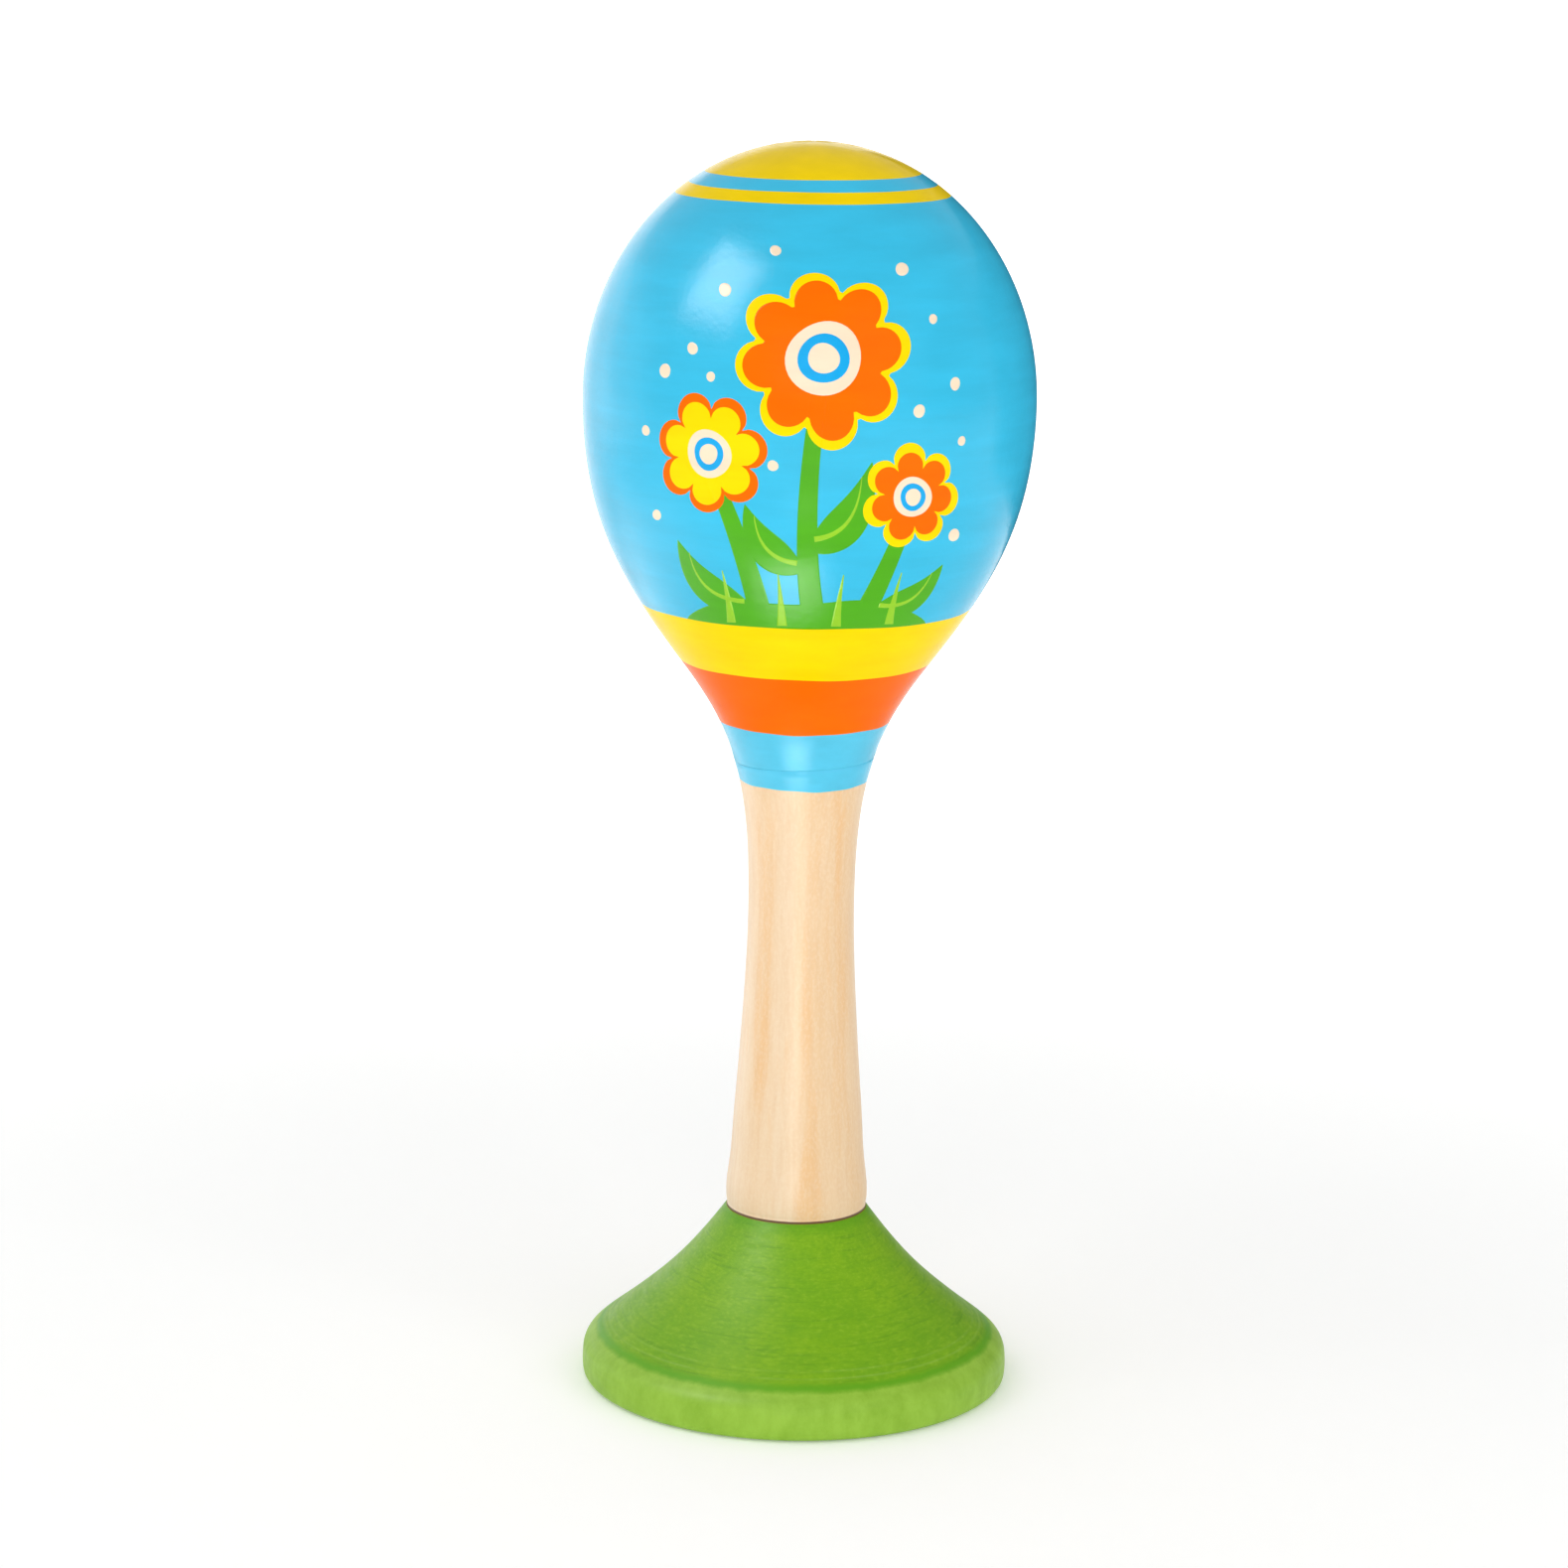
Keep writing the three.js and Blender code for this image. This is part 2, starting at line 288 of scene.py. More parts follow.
# Lamps, in metres. Some only shed light and some only show in the gloss.
HEAD_PLACE = (0, 0, 0.13)
LAMPS = [
    dict(name="key_box", place=(-0.46, -0.25, 0.69), target=HEAD_PLACE, size=(0.55, 0.55), radiance=0.66,
         glossy=False),
    dict(name="key_glint", place=(-0.46, -0.24, 0.60), target=HEAD_PLACE, size=(0.50, 0.50), radiance=10.2,
         diffuse=False, soft=0.6),
    dict(name="left_wall", place=(-0.56, 0.20, 0.10), target=HEAD_PLACE, size=(0.75, 0.75), radiance=1.0,
         diffuse=False, soft=0.8),
    dict(name="left_card", place=(-0.20, 0.03, 0.004), target=(-0.20, 0.03, 1.0), size=(0.30, 0.40),
         radiance=1.6, diffuse=False, soft=0.8),
    dict(name="front_box", place=(-0.05, -0.85, 0.40), target=HEAD_PLACE, size=(0.5, 0.4), radiance=2.24,
         glossy=False),
    dict(name="fill_box", place=(0.62, -0.72, 0.45), target=HEAD_PLACE, size=(0.7, 0.8), radiance=1.19,
         glossy=False),
    dict(name="near_card", place=(-0.017, -0.070, 0.018), target=(0.0, 0.002, 0.118), size=(0.10, 0.06),
         radiance=12.5, diffuse=False, soft=0.5, spread=math.radians(48)),
    dict(name="far_card", place=(-0.008, -0.140, 0.036), target=(0.0, 0.0, 0.052), size=(0.05, 0.07),
         radiance=7.5, diffuse=False, soft=0.5, spread=math.radians(60)),
]

# Mesh fineness
COLUMNS = 144
SKIN_RADIUS = 24.0
ROW_STEP = 1.25
CLEAR_OF_EDGE = 0.45
OUTLINE_SAMPLES = 4000
MIRRORED_KNOTS = 4
BASE_ROW_STEP = 0.4
FOOT_ROUND_END = 1.2
FOOT_ROW_STEP = 0.12
HANDLE_ROW_STEP = 0.85
EDGE_ROOM = 0.5
NECK_ROWS = 3
BEAD_COLUMNS = 32
BEAD_ROWS = 20
BEAD_PIP = 0.985
SHARP_ANGLE = math.radians(32)

# Thinning of the head's columns towards the crown: from a radius up, one column in so many is kept
THINNING = [(12, 1), (6, 2), (3, 4), (0, 8)]

# Map for baking, with the share of it that the inside of a shell takes
BAKE_MAP = "OFBake"
INSIDE_MAP = 0.12

# Tolerance for the front half plane, in metres
ON_FRONT = 1e-6

# Tolerances: on the axis, for a level step, for cuts, for an edge, in digits, and a floor under a zero length
ON_AXIS = 1e-6
LEVEL_STEP = 1e-4
CUT_TOLERANCE = 1e-6
EDGE_TOLERANCE = 1e-5
SECTION_DIGITS = 3
WELD_DIGITS = 5
TINY = 1e-15

# Sockets of a colour mix
MIX_SHARE = 0
MIX_FIRST = 6
MIX_SECOND = 7
MIX_RESULT = 2


# Half sections and outlines

def half_section(node):
    """The (radius, height) points of a turned CAD node on its front side, between its two axis points."""
    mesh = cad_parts[node].data

    def on_front(vertex):
        return abs(vertex.co.x) < ON_FRONT and vertex.co.y < ON_FRONT

    def place(vertex):
        return abs(round(-vertex.co.y / MM, SECTION_DIGITS)), round(vertex.co.z / MM, SECTION_DIGITS)

    links = {}
    for edge in mesh.edges:
        ends = [mesh.vertices[i] for i in edge.vertices]
        if all(on_front(v) for v in ends):
            a, b = (place(v) for v in ends)
            links.setdefault(a, set()).add(b)
            links.setdefault(b, set()).add(a)
    here = min(p for p in links if len(links[p]) == 1)
    chain = [here]
    while len(chain) < len(links):
        here = next(p for p in links[here] if p not in chain)
        chain.append(here)
    return chain


def split_section(node):
    """A half section as (inside before, outside going up, inside after). Level steps bound the outside."""
    chain = half_section(node)
    widest = max(range(len(chain)), key=lambda i: chain[i][0])

    def reach(step):
        i = widest
        while 0 <= i + step < len(chain) and abs(chain[i + step][1] - chain[i][1]) > LEVEL_STEP:
            i += step
        return i

    low = reach(-1)
    high = reach(1)
    if chain[low][1] > chain[high][1]:
        chain.reverse()
        low, high = len(chain) - 1 - high, len(chain) - 1 - low
    return chain[:low], chain[low:high + 1], chain[high + 1:]


class Outline:
    """A smooth curve through (radius, height) points, by its length along the curve."""

    def __init__(self, points, ends_on_axis=False):
        knots = np.array(points, float)
        if ends_on_axis:
            mirrored = knots[-2:-2 - MIRRORED_KNOTS:-1] * (-1, 1)
            knots = np.vstack([knots, mirrored])
        along = np.concatenate([[0], np.cumsum(np.linalg.norm(np.diff(knots, axis=0), axis=1))])
        dense = np.linspace(0, along[len(points) - 1], OUTLINE_SAMPLES)
        self.place = np.column_stack([natural_spline(along, knots[:, i], dense) for i in (0, 1)])
        self.place[:, 0] = np.maximum(self.place[:, 0], 0)
        steps = np.linalg.norm(np.diff(self.place, axis=0), axis=1)
        self.along = np.concatenate([[0], np.cumsum(steps)])
        slope = np.gradient(self.place, self.along, axis=0)
        self.out = np.column_stack([slope[:, 1], -slope[:, 0]])
        self.out /= np.linalg.norm(self.out, axis=1, keepdims=True)
        self.length = self.along[-1]

    def radius(self, s):
        return np.interp(s, self.along, self.place[:, 0])

    def height(self, s):
        return np.interp(s, self.along, self.place[:, 1])

    def normal(self, s):
        return np.interp(s, self.along, self.out[:, 0]), np.interp(s, self.along, self.out[:, 1])

    def at_height(self, z):
        return np.interp(z, self.place[:, 1], self.along)


def natural_spline(knots, values, at):
    """Values at places along a natural cubic spline."""
    gaps = np.diff(knots)
    count = len(knots)
    system = np.eye(count)
    turns = np.zeros(count)
    for i in range(1, count - 1):
        system[i, i - 1:i + 2] = gaps[i - 1], 2 * (gaps[i - 1] + gaps[i]), gaps[i]
        turns[i] = 6 * ((values[i + 1] - values[i]) / gaps[i] - (values[i] - values[i - 1]) / gaps[i - 1])
    bend = np.linalg.solve(system, turns)
    i = np.clip(np.searchsorted(knots, at) - 1, 0, count - 2)
    gap = gaps[i]
    left = (knots[i + 1] - at) / gap
    right = 1 - left
    return (left * values[i] + right * values[i + 1]
            + ((left**3 - left) * bend[i] + (right**3 - right) * bend[i + 1]) * gap**2 / 6)


def waves(turn, seed, parts):
    """A small, smooth, closed wander by the angle of a turn."""
    return sum(size * np.sin(count * turn + lead * seed) for size, count, lead in parts)


def around(radius, turn, height):
    """Metres in the row frame. A turn of 0 is the front, -Y, and grows towards +X."""
    return np.stack([radius * np.sin(turn), -radius * np.cos(turn), height], axis=-1) * MM


# Colours and materials

def srgb(code):
    """A linear colour from a code such as 55BFE6."""
    parts = [int(code[i:i + 2], 16) / 255 for i in (0, 2, 4)]
    return (*(p / 12.92 if p <= 0.04045 else ((p + 0.055) / 1.055) ** 2.4 for p in parts), 1.0)


def tone(colour, factor):
    return (*(min(1.0, c * factor) for c in colour[:3]), 1.0)


def add_node(tree, kind, settings=None, inputs=None):
    """A shader node with its settings, and each input linked or set."""
    node = tree.nodes.new(kind)
    for name, value in (settings or {}).items():
        setattr(node, name, value)
    for name, value in (inputs or {}).items():
        if isinstance(value, bpy.types.NodeSocket):
            tree.links.new(value, node.inputs[name])
        else:
            node.inputs[name].default_value = value
    return node


def new_material(name):
    """A material with an empty Principled shader: (material, tree, shader)."""
    material = bpy.data.materials.new(name)
    material.use_nodes = True
    tree = material.node_tree
    tree.nodes.clear()
    shader = add_node(tree, "ShaderNodeBsdfPrincipled")
    output = add_node(tree, "ShaderNodeOutputMaterial")
    tree.links.new(shader.outputs["BSDF"], output.inputs["Surface"])
    return material, tree, shader


def vector_maths(tree, operation, first, second):
    return add_node(tree, "ShaderNodeVectorMath", {"operation": operation}, {0: first, 1: second}).outputs[0]


def object_place(tree):
    return add_node(tree, "ShaderNodeTexCoord").outputs["Object"]


def stretched(tree, scale):
    """Object coordinates, scaled on each axis."""
    inputs = {"Vector": object_place(tree), "Scale": scale}
    return add_node(tree, "ShaderNodeMapping", inputs=inputs).outputs["Vector"]


def turned_place(tree, scale):
    """Coordinates that run round the axis and up it, with no seam, each with its scale."""
    round_scale, height_scale = scale
    place = object_place(tree)
    flat = vector_maths(tree, "MULTIPLY", place, (1, 1, 0))
    unit = add_node(tree, "ShaderNodeVectorMath", {"operation": "NORMALIZE"}, {0: flat}).outputs["Vector"]
    ring = vector_maths(tree, "MULTIPLY", unit, (round_scale, round_scale, 0))
    rise = vector_maths(tree, "MULTIPLY", place, (0, 0, height_scale))
    return vector_maths(tree, "ADD", ring, rise)


def noise(tree, kind):
    """The noise that a Straight or Turned value describes."""
    place = {Straight: stretched, Turned: turned_place}[type(kind)](tree, kind.scale)
    inputs = {"Vector": place, "Scale": 1.0, "Detail": kind.detail, "Roughness": kind.roughness}
    return add_node(tree, "ShaderNodeTexNoise", inputs=inputs).outputs["Fac"]


def between(tree, value, span, to=(0.0, 1.0), curve="LINEAR"):
    """A value mapped from one span to another and held at its ends."""
    inputs = {"Value": value, "From Min": span[0], "From Max": span[1], "To Min": to[0], "To Max": to[1]}
    settings = {"clamp": True, "interpolation_type": curve}
    return add_node(tree, "ShaderNodeMapRange", settings, inputs).outputs["Result"]


def mixed(tree, share, first, second):
    """A colour between two, each a colour or a socket."""
    inputs = {MIX_SHARE: share, MIX_FIRST: first, MIX_SECOND: second}
    return add_node(tree, "ShaderNodeMix", {"data_type": "RGBA"}, inputs).outputs[MIX_RESULT]


def coated(tree, ground, coats, noises):
    """A ground colour under coats that show through their noises."""
    colour = srgb(ground)
    for coat in coats:
        share = between(tree, noises[coat.noise], coat.span, (0.0, coat.share))
        colour = mixed(tree, share, colour, srgb(coat.colour))
    return colour


def maths(tree, operation, first, second=0.0):
    return add_node(tree, "ShaderNodeMath", {"operation": operation}, {0: first, 1: second}).outputs[0]


def apart(tree, value, level):
    """How far a value is from a level."""
    return maths(tree, "ABSOLUTE", maths(tree, "SUBTRACT", value, level))


def height_over(tree, level):
    """The height of a point over a level, in millimetres."""
    metres = add_node(tree, "ShaderNodeSeparateXYZ", inputs={"Vector": object_place(tree)}).outputs["Z"]
    return maths(tree, "SUBTRACT", maths(tree, "DIVIDE", metres, MM), level)


def bumped(tree, height, bump, under=None):
    """A normal from a height, over another normal where there is one."""
    strength, depth = bump
    inputs = {"Height": height, "Strength": strength, "Distance": depth * MM}
    if under is not None:
        inputs["Normal"] = under
    return add_node(tree, "ShaderNodeBump", inputs=inputs).outputs["Normal"]


def enamel(name, code, sheen):
    """Gloss enamel brushed on as the head turns: faint streaks round it, orange peel in the gloss."""
    material, tree, shader = new_material(name)
    streaks = noise(tree, ENAMEL_STREAKS)
    clouds = noise(tree, ENAMEL_CLOUDS)
    parts = [maths(tree, "MULTIPLY", part, share) for part, share in zip((streaks, clouds), ENAMEL_BLEND)]
    blend = between(tree, maths(tree, "ADD", *parts), ENAMEL_BLEND_SPAN)
    dark, light = (tone(srgb(code), factor) for factor in ENAMEL_TONES)
    tree.links.new(mixed(tree, blend, dark, light), shader.inputs["Base Color"])
    tree.links.new(between(tree, clouds, ENAMEL_GLOSS_SPAN, ENAMEL_ROUGHNESS), shader.inputs["Roughness"])
    peel = bumped(tree, noise(tree, ENAMEL_PEEL), PEEL_BUMP)
    tree.links.new(bumped(tree, streaks, BRUSH_BUMP, peel), shader.inputs["Normal"])
    shader.inputs["Specular IOR Level"].default_value = sheen
    return material


def plain_wood(foot_height):
    """Pale close-grained wood under satin varnish: warm streaks, fine lines, and dark glue at the foot."""
    material, tree, shader = new_material("plain_wood")
    noises = {kind: noise(tree, kind) for kind in (WOOD_BROAD, WOOD_FLAME, WOOD_FINE, WOOD_FLECK)}
    colour = coated(tree, WOOD_GROUND, WOOD_COATS, noises)
    glue = between(tree, height_over(tree, foot_height), FOOT_GLUE_SPAN, (0.0, FOOT_GLUE_SHARE))
    colour = mixed(tree, glue, colour, srgb(FOOT_GLUE))
    tree.links.new(colour, shader.inputs["Base Color"])
    gloss = between(tree, noises[WOOD_FINE], WOOD_GLOSS_SPAN, WOOD_ROUGHNESS)
    tree.links.new(gloss, shader.inputs["Roughness"])
    fine = bumped(tree, noises[WOOD_FINE], WOOD_FINE_BUMP)
    tree.links.new(bumped(tree, noises[WOOD_FLECK], WOOD_FLECK_BUMP, fine), shader.inputs["Normal"])
    shader.inputs["Specular IOR Level"].default_value = WOOD_SHEEN
    return material


def flare_stain(tree, noises, over_shoulder):
    """The colour of the flare, with two faint turned rings over its shoulder."""
    colour = coated(tree, FLARE_GROUND, FLARE_COATS, noises)
    broken = between(tree, noises[STAIN_CLOUDS], TURNED_RING_CLOUDS)
    for rise, share in TURNED_RINGS:
        ring = between(tree, apart(tree, over_shoulder, rise), TURNED_RING_SPAN, (0.0, share))
        colour = mixed(tree, maths(tree, "MULTIPLY", ring, broken), colour, srgb(TURNED_RING_GREEN))
    return colour


def green_stain(seat_height):
    """Uneven green stain with fibres, turning lines and a mottled rim; stain and painted shade darken
    shoulder and seat.
    """
    material, tree, shader = new_material("green_stained_wood")
    kinds = (STAIN_STREAKS, STAIN_LINES, STAIN_FIBRES, STAIN_MOTTLE, STAIN_CLOUDS)
    noises = {kind: noise(tree, kind) for kind in kinds}
    over_shoulder = height_over(tree, SHOULDER_LINE)
    over_seat = height_over(tree, seat_height)
    uneven = maths(tree, "SUBTRACT", noises[STAIN_MOTTLE], MIDDLE)
    uneven = maths(tree, "MULTIPLY", uneven, STAIN_UNEVEN)
    flare = flare_stain(tree, noises, over_shoulder)
    rim = coated(tree, RIM_GROUND, RIM_COATS, noises)
    colour = mixed(tree, between(tree, over_shoulder, RIM_SPAN), flare, rim)
    # A darker green line along the shoulder, partly stain and partly painted shade in the crease
    edge_gap = maths(tree, "ABSOLUTE", maths(tree, "ADD", over_shoulder, uneven))
    edge = between(tree, edge_gap, EDGE_STAIN_AND_SHADE_SPAN, (0.0, EDGE_STAIN_AND_SHADE_SHARE))
    colour = mixed(tree, edge, colour, srgb(EDGE_STAIN_AND_SHADE_GREEN))
    # A darker green ring round the handle's foot, partly stain and partly painted shade under the handle
    seat = between(tree, maths(tree, "ADD", over_seat, uneven), SEAT_STAIN_AND_SHADE_SPAN, (0.0, SEAT_STAIN_AND_SHADE_SHARE))
    colour = mixed(tree, seat, colour, srgb(SEAT_STAIN_AND_SHADE_GREEN))
    glue = between(tree, over_seat, SEAT_GLUE_SPAN, (0.0, SEAT_GLUE_SHARE))
    colour = mixed(tree, glue, colour, srgb(SEAT_GLUE))
    tree.links.new(colour, shader.inputs["Base Color"])
    gloss = between(tree, noises[STAIN_STREAKS], STAIN_GLOSS_SPAN, STAIN_ROUGHNESS)
    tree.links.new(gloss, shader.inputs["Roughness"])
    streaks = bumped(tree, noises[STAIN_STREAKS], STAIN_STREAK_BUMP)
    tree.links.new(bumped(tree, noises[STAIN_LINES], STAIN_LINE_BUMP, streaks), shader.inputs["Normal"])
    shader.inputs["Specular IOR Level"].default_value = STAIN_SHEEN
    return material


def bare_wood(name, light, dark):
    """Bare turned wood with a plain grain."""
    material, tree, shader = new_material(name)
    grain = noise(tree, BARE_GRAIN)
    colour = mixed(tree, between(tree, grain, BARE_SPAN), srgb(light), srgb(dark))
    tree.links.new(colour, shader.inputs["Base Color"])
    tree.links.new(between(tree, grain, BARE_GLOSS_SPAN, BARE_ROUGHNESS), shader.inputs["Roughness"])
    tree.links.new(bumped(tree, grain, BARE_BUMP), shader.inputs["Normal"])
    return material


# Turned pieces

def new_mesh(name, places, faces, paints, maps, normals=None):
    """A smooth mesh, with a material number for each face and a map place for each corner."""
    mesh = bpy.data.meshes.new(name)
    mesh.from_pydata([tuple(p) for p in places], [], faces)
    mesh.polygons.foreach_set("material_index", paints)
    mesh.polygons.foreach_set("use_smooth", [True] * len(faces))
    layer = mesh.uv_layers.new(name=BAKE_MAP)
    layer.data.foreach_set("uv", np.array(maps, np.float32).ravel())
    if normals is None:
        mesh.set_sharp_from_angle(angle=SHARP_ANGLE)
    else:
        mesh.normals_split_custom_set([tuple(n) for n in normals])
    return mesh


def finish_piece(name, mesh, materials, body, node):
    """An object that rides on a body and stands for a CAD node."""
    for material in materials:
        mesh.materials.append(material)
    piece = bpy.data.objects.new(name, mesh)
    bpy.context.scene.collection.objects.link(piece)
    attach(piece, body)
    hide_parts(node)


def turned_mesh(name, rings, paints, columns):
    """A closed mesh from rings of points going up the outside.

    A ring is (radius, height), each one number or one for each column. The material number of the band above
    ring i is paints[i].
    """
    turn = np.arange(columns) * FULL_TURN / columns
    reach = [(float(np.mean(r)), float(np.mean(z))) for r, z in rings]
    along = np.concatenate([[0], np.cumsum(np.linalg.norm(np.diff(reach, axis=0), axis=1))])
    along /= along[-1]
    places = []
    loops = []
    for radius, height in rings:
        first = len(places)
        if np.max(radius) < ON_AXIS:
            places.append((0, 0, float(np.mean(height)) * MM))
            loops.append([first] * columns)
        else:
            ring = np.broadcast_to(radius, turn.shape), turn, np.broadcast_to(height, turn.shape)
            places.extend(around(*ring))
            loops.append(list(range(first, first + columns)))
    faces = []
    face_paints = []
    maps = []
    for i, (low, high) in enumerate(zip(loops, loops[1:])):
        for k in range(columns):
            m = (k + 1) % columns
            left = k / columns
            right = (k + 1) / columns
            corners = {low[k]: (left, along[i]), low[m]: (right, along[i]),
                       high[m]: (right, along[i + 1]), high[k]: (left, along[i + 1])}
            faces.append(list(corners))
            maps.extend(corners.values())
            face_paints.append(paints[i])
    return new_mesh(name, places, faces, face_paints, maps)


def rows_along(first, last, step):
    """Evenly spaced lengths along an outline."""
    return np.linspace(first, last, max(2, round((last - first) / step) + 1))


def make_base():
    before, outside, after = split_section("base")
    outline = Outline(outside)
    rows = rows_along(0, outline.length, BASE_ROW_STEP)
    rings = [*before, *zip(outline.radius(rows), outline.height(rows)), *after]
    mesh = turned_mesh("base_stained", rings, [0] * len(rings), COLUMNS)
    stain = green_stain(outside[-1][1])
    finish_piece("base_stained", mesh, [stain], "instrument", "base")


def joint_skew(turn):
    """How far the hairline in the paint over the neck joint strays from the joint's height."""
    return JOINT_SKEW * np.cos(turn - JOINT_SKEW_TURN)


def make_handle(outline, before, after, joint_height, wood, paint):
    """Glue under the foot, the rounded foot, the grip, the paint below the neck joint, and both tenons."""
    turn = np.arange(COLUMNS) * FULL_TURN / COLUMNS
    top = joint_height + joint_skew(turn)
    paint_end = PAINT_END + NECK_WOBBLE * waves(turn, HANDLE_EDGE_SEED, WOBBLE_WAVES)
    foot = outline.place[0, 1]
    grip_foot = foot + FOOT_ROUND_END

    def ring_at(height, sunk=0.0):
        return outline.radius(outline.at_height(height)) - sunk, height

    rounded = rows_along(0, outline.at_height(grip_foot), FOOT_ROW_STEP)
    glued = outline.radius(rounded).max() - GLUE_INSET
    rings = [*before, (glued, foot - GLUE_DROP)]
    rings += zip(np.maximum(outline.radius(rounded), glued), outline.height(rounded))
    rings += [ring_at(height) for height in rows_along(grip_foot, PAINT_END - EDGE_ROOM, HANDLE_ROW_STEP)[1:]]
    paints = [0] * len(rings)
    for row in range(NECK_ROWS + 1):
        rings.append(ring_at(paint_end + row / NECK_ROWS * (top - JOINT_GROOVE_HALF - paint_end)))
    rings.append(ring_at(top, JOINT_GROOVE))
    paints += [1] * (len(rings) - len(paints))
    rings += after
    paints += [0] * (len(rings) - len(paints))
    mesh = turned_mesh("handle_turned", rings, paints, COLUMNS)
    finish_piece("handle_turned", mesh, [wood, paint], "instrument", "handle")


def make_beads():
    """Turned balls with a flat pip at each pole, one for each CAD bead."""
    wood = bare_wood("bead_wood", *BEAD_WOOD)
    angles = np.linspace(-math.pi / 2, math.pi / 2, BEAD_ROWS + 1)[1:-1]
    for node in sorted(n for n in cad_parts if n.startswith("rattle_bead")):
        low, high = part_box(node)
        radius = (high.z - low.z) / 2 / MM
        pip = BEAD_PIP * radius
        rings = [(radius * math.cos(a), float(np.clip(radius * math.sin(a), -pip, pip))) for a in angles]
        rings = [(0.0, -pip), *rings, (0.0, pip)]
        name = node.replace("rattle_bead", "turned_bead")
        mesh = turned_mesh(name, rings, [0] * len(rings), BEAD_COLUMNS)
        mesh.transform(Matrix.Translation((low + high) / 2))
        finish_piece(name, mesh, [wood], node.replace("rattle_", ""), node)


# Painted flowers on the head's front. A shape is its outer edge and the inner edge of its bevel.

def closed_curve(centre, radius_at, count):
    turn = np.linspace(0, FULL_TURN, count, endpoint=False)
    way = np.column_stack([-np.sin(turn), np.cos(turn)])
    radius = radius_at(turn)[:, None]
    return centre + way * radius, centre + way * (radius - PAINT_BEVEL)


def petals(centre, radius, count, lean, notch):
    def radius_at(turn):
        lobe = np.abs(np.cos(count * (turn - lean) / 2)) ** PETAL_FLATNESS
        return radius * (1 - notch * (1 - lobe)) * (1 + waves(turn, radius, PETAL_WAVES))
    return closed_curve(centre, radius_at, PETAL_POINTS * count)


def disc(centre, radius, seed, count):
    def radius_at(turn):
        return radius * (1 + waves(turn, seed, DISC_WAVES))
    return closed_curve(centre, radius_at, count)


def swept(path, half_width, count):
    """A band along a bent line."""
    start, bend, end = (np.array(p, float) for p in path)
    t = np.linspace(0, 1, count)[:, None]
    line = (1 - t) ** 2 * start + 2 * t * (1 - t) * bend + t**2 * end
    run = 2 * (1 - t) * (bend - start) + 2 * t * (end - bend)
    side = np.column_stack([run[:, 1], -run[:, 0]]) / np.linalg.norm(run, axis=1, keepdims=True)
    width = half_width(t[:, 0])[:, None]

    def edge(line, width):
        return np.vstack([line + side * width, (line - side * width)[::-1]])

    pulled = line + (line.mean(axis=0) - line) * PAINT_BEVEL / np.linalg.norm(end - start)
    return edge(line, width), edge(pulled, np.maximum(width - PAINT_BEVEL, NARROWEST * width))


def stem(path, half_widths):
    wide, narrow = half_widths
    return swept(path, lambda t: wide + (narrow - wide) * t, SWEEP_POINTS)


def leaf(path, width):
    def half_width(t):
        return LEAF_TIP + width * np.sin(np.pi * t**LEAF_LEAN) ** LEAF_FULLNESS
    return swept(path, half_width, SWEEP_POINTS)


def vein(path):
    """A light line down the middle of a leaf, short of both its ends."""
    start, bend, end = (np.array(p, float) for p in path)
    run = end - start
    trimmed = (start + VEIN_TRIM[0] * run, bend, end - VEIN_TRIM[1] * run)
    return swept(trimmed, lambda t: VEIN_TIP + VEIN_WIDTH * (1 - t), VEIN_POINTS)


def mound():
    """Rolling ground on the foot of the blue."""
    t = np.linspace(0, 1, MOUND_POINTS)
    across = MOUND_HALF * (2 * t - 1)
    roll = 1 + MOUND_ROLL * np.sin(MOUND_ROLL_RATE * t + MOUND_ROLL_START)
    rise = MOUND_HEIGHT * np.sin(np.pi * t) ** MOUND_FULLNESS * roll - MOUND_SUNK
    foot = np.full(MOUND_POINTS, MOUND_FOOT)

    def edge(rise):
        return np.vstack([np.column_stack([across, foot]), np.column_stack([across, rise])[::-1]])

    return edge(rise), edge(rise - PAINT_BEVEL)


def flower(centre, radius, count, lean, petal, rim):
    """Layers of one flower, from the bottom up, each (paint, shape)."""
    layers = [(rim, petals(centre, radius + FLOWER_RIM, count, lean, RIM_NOTCH)),
              (petal, petals(centre, radius, count, lean, PETAL_NOTCH))]
    for ring, (paint, share) in enumerate(FLOWER_EYE):
        layers.append((paint, disc(centre, share * radius, radius + ring, EYE_POINTS)))
    return layers


def artwork():
    """All painted layers in the order in which they are laid on."""
    layers = [("leaf_green", mound())]
    for path in STEMS:
        layers.append(("leaf_green", stem(path, STEM_HALF_WIDTHS)))
    for path, width in LEAVES:
        layers.append(("leaf_green", leaf(path, width)))
        layers.append(("leaf_light", vein(path)))
    for foot, lean in BLADES:
        path = zip((foot, foot + BLADE_BEND * lean, foot + lean), BLADE_HEIGHTS)
        layers.append(("leaf_light", stem(path, BLADE_HALF_WIDTHS)))
    for bloom in FLOWERS:
        layers += flower(*bloom)
    for i, centre in enumerate(DOTS):
        radius = DOT_RADIUS + DOT_SPREAD * math.sin(DOT_TURN * i)
        layers.append(("cream", disc(centre, radius, i, DOT_POINTS)))
    return layers


# Head: one sheet of skin over both shells, cut along every painted edge

